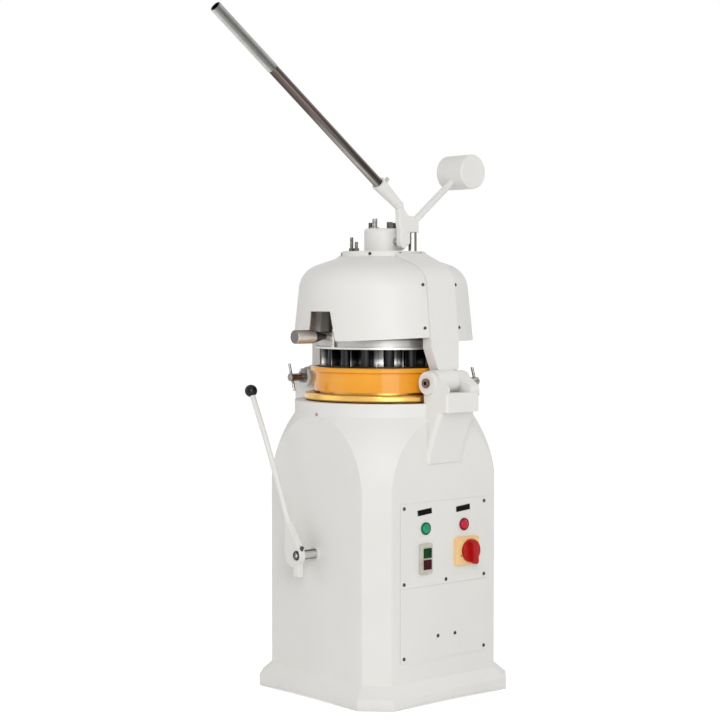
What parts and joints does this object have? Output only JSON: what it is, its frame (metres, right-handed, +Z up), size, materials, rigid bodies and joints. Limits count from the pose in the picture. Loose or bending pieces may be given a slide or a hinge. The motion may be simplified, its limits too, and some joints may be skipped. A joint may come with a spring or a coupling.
{
  "type": "dough divider rounder",
  "caption": "Floor-standing dough divider rounder: chamfered cabinet, tilting domed press head, long counterweighted hand lever, orange dough ring on an orbiting table.",
  "frame": {"origin": "middle of the cabinet foot, on the floor", "axes": "+X to the control side, +Y to the back, +Z up"},
  "size_m": [0.748, 1.0834, 2.1248],
  "materials": {
    "white_paint": "satin off-white enamel",
    "dark_steel": "blackened steel",
    "bright_steel": "machined steel",
    "chrome": "polished",
    "gold_plate": "yellow zinc plating",
    "orange_paint": "gloss orange enamel",
    "white_plastic": "smooth food-grade plastic",
    "black_plastic": "satin black",
    "grey_plastic": "light grey",
    "beige_plastic": "beige",
    "green_plastic": "green",
    "red_plastic": "red",
    "dark_red_plastic": "dark red",
    "yellow_plastic": "pale yellow",
    "cast_iron": "grey casting",
    "rubber": "black belt"
  },
  "bodies": {
    "base": {"base_housing": "white_paint", "bottom_plate": "dark_steel", "control_panel": "white_paint", "access_panel": "white_paint", "panel_screws": "dark_steel", "label_plates": "black_plastic", "button_bezels": "grey_plastic", "switch_box": "beige_plastic", "isolator_plate": "yellow_plastic", "right_bracket": "white_paint", "left_bracket": "white_paint", "table_pads": "white_plastic", "bearing_housing": "cast_iron", "crank_bearings": "bright_steel", "drive_belt": "rubber", "motor": "cast_iron", "motor_shelf": "dark_steel", "round_bush": "white_paint", "front_plug": "dark_steel", "cable_gland": "black_plastic"},
    "green_cap": {"green_button": "green_plastic"},
    "red_cap": {"red_button": "red_plastic"},
    "on_key": {"switch_on_key": "green_plastic"},
    "off_key": {"switch_off_key": "dark_red_plastic"},
    "isolator": {"isolator_knob": "red_plastic"},
    "right_pin": {"right_hinge_pin": "bright_steel"},
    "crank": {"crank_shaft": "bright_steel", "drive_pulley": "cast_iron"},
    "table": {"table_disc": "gold_plate", "dough_ring": "orange_paint", "dough_plate": "white_plastic"},
    "rotor": {"motor_pulley": "cast_iron"},
    "round_lever": {"round_shaft": "bright_steel", "round_arm": "white_paint", "round_knob": "black_plastic", "arm_set_screw": "dark_steel"},
    "head": {"yoke": "white_paint", "front_cover": "white_paint", "rear_cover": "white_paint", "cover_screws": "dark_steel", "gear_boss": "white_paint", "gear_cap": "white_paint", "boss_bolts": "dark_steel", "adjusting_studs": "dark_steel", "stop_post": "chrome", "guide_rods": "bright_steel"},
    "left_pin": {"left_lock_pin": "bright_steel"},
    "lever": {"pinion_shaft": "bright_steel", "lever_casting": "white_paint", "lever_tube": "chrome", "lever_grip": "bright_steel", "tube_screw": "dark_steel", "counterweight": "white_paint"},
    "press": {"rack_column": "bright_steel", "press_drum": "bright_steel", "press_blocks": "black_plastic", "changeover_stud": "bright_steel", "dust_sleeve": "dark_steel"},
    "knives": {"knife_set": "bright_steel"},
    "handle": {"changeover_handle": "bright_steel"}
  },
  "joints": [
    {"name": "green_press", "type": "slide", "parent": "base", "child": "green_cap", "axis": [-1, 0, 0], "range_m": [0, 0.004], "stiffness_N_per_m": 400},
    {"name": "red_press", "type": "slide", "parent": "base", "child": "red_cap", "axis": [-1, 0, 0], "range_m": [0, 0.004], "stiffness_N_per_m": 400},
    {"name": "on_key_press", "type": "slide", "parent": "base", "child": "on_key", "axis": [-1, 0, 0], "range_m": [0, 0.003], "stiffness_N_per_m": 400},
    {"name": "off_key_press", "type": "slide", "parent": "base", "child": "off_key", "axis": [-1, 0, 0], "range_m": [0, 0.003], "stiffness_N_per_m": 400},
    {"name": "isolator_turn", "type": "hinge", "parent": "base", "child": "isolator", "pos_m": [0.31, 0.098, 0.461], "axis": [1, 0, 0], "range_deg": [0, 90]},
    {"name": "right_pin_turn", "type": "hinge", "parent": "base", "child": "right_pin", "pos_m": [0.29, 0, 0.997], "axis": [0, 1, 0], "continuous": true},
    {"name": "crank_spin", "type": "hinge", "parent": "base", "child": "crank", "pos_m": [0, 0, 0.85], "axis": [0, 0, 1], "continuous": true},
    {"name": "table_turn", "type": "hinge", "parent": "crank", "child": "table", "pos_m": [0.005, 0, 0.945], "axis": [0, 0, 1], "continuous": true},
    {"name": "motor_spin", "type": "hinge", "parent": "base", "child": "rotor", "pos_m": [-0.12, 0.135, 0.75], "axis": [0, 0, 1], "continuous": true},
    {"name": "round_turn", "type": "hinge", "parent": "base", "child": "round_lever", "pos_m": [0, -0.3, 0.455], "axis": [0, 1, 0], "range_deg": [0, 50]},
    {"name": "head_tilt", "type": "hinge", "parent": "base", "child": "head", "pos_m": [0.29, 0, 0.997], "axis": [0, 1, 0], "range_deg": [0, 40]},
    {"name": "left_pin_turn", "type": "hinge", "parent": "head", "child": "left_pin", "pos_m": [-0.29, 0, 0.997], "axis": [0, 1, 0], "continuous": true},
    {"name": "lever_pull", "type": "hinge", "parent": "head", "child": "lever", "pos_m": [0.05, -0.002, 1.442], "axis": [1, 0, 0], "range_deg": [0, 65]},
    {"name": "press_slide", "type": "slide", "parent": "head", "child": "press", "axis": [0, 0, -1], "range_m": [0, 0.0296]},
    {"name": "knife_slide", "type": "slide", "parent": "press", "child": "knives", "axis": [0, 0, -1], "range_m": [0, 0.03]},
    {"name": "handle_swing", "type": "hinge", "parent": "press", "child": "handle", "pos_m": [0, -0.2135, 1.14], "axis": [0, 0, 1], "range_deg": [0, 20]}
  ],
  "couplings": [
    {"joint": "table_turn", "follows": "crank_spin", "ratio": -1},
    {"joint": "motor_spin", "follows": "crank_spin", "ratio": 2.9167},
    {"joint": "press_slide", "follows": "lever_pull", "m_per_rad": 0.026}
  ]
}
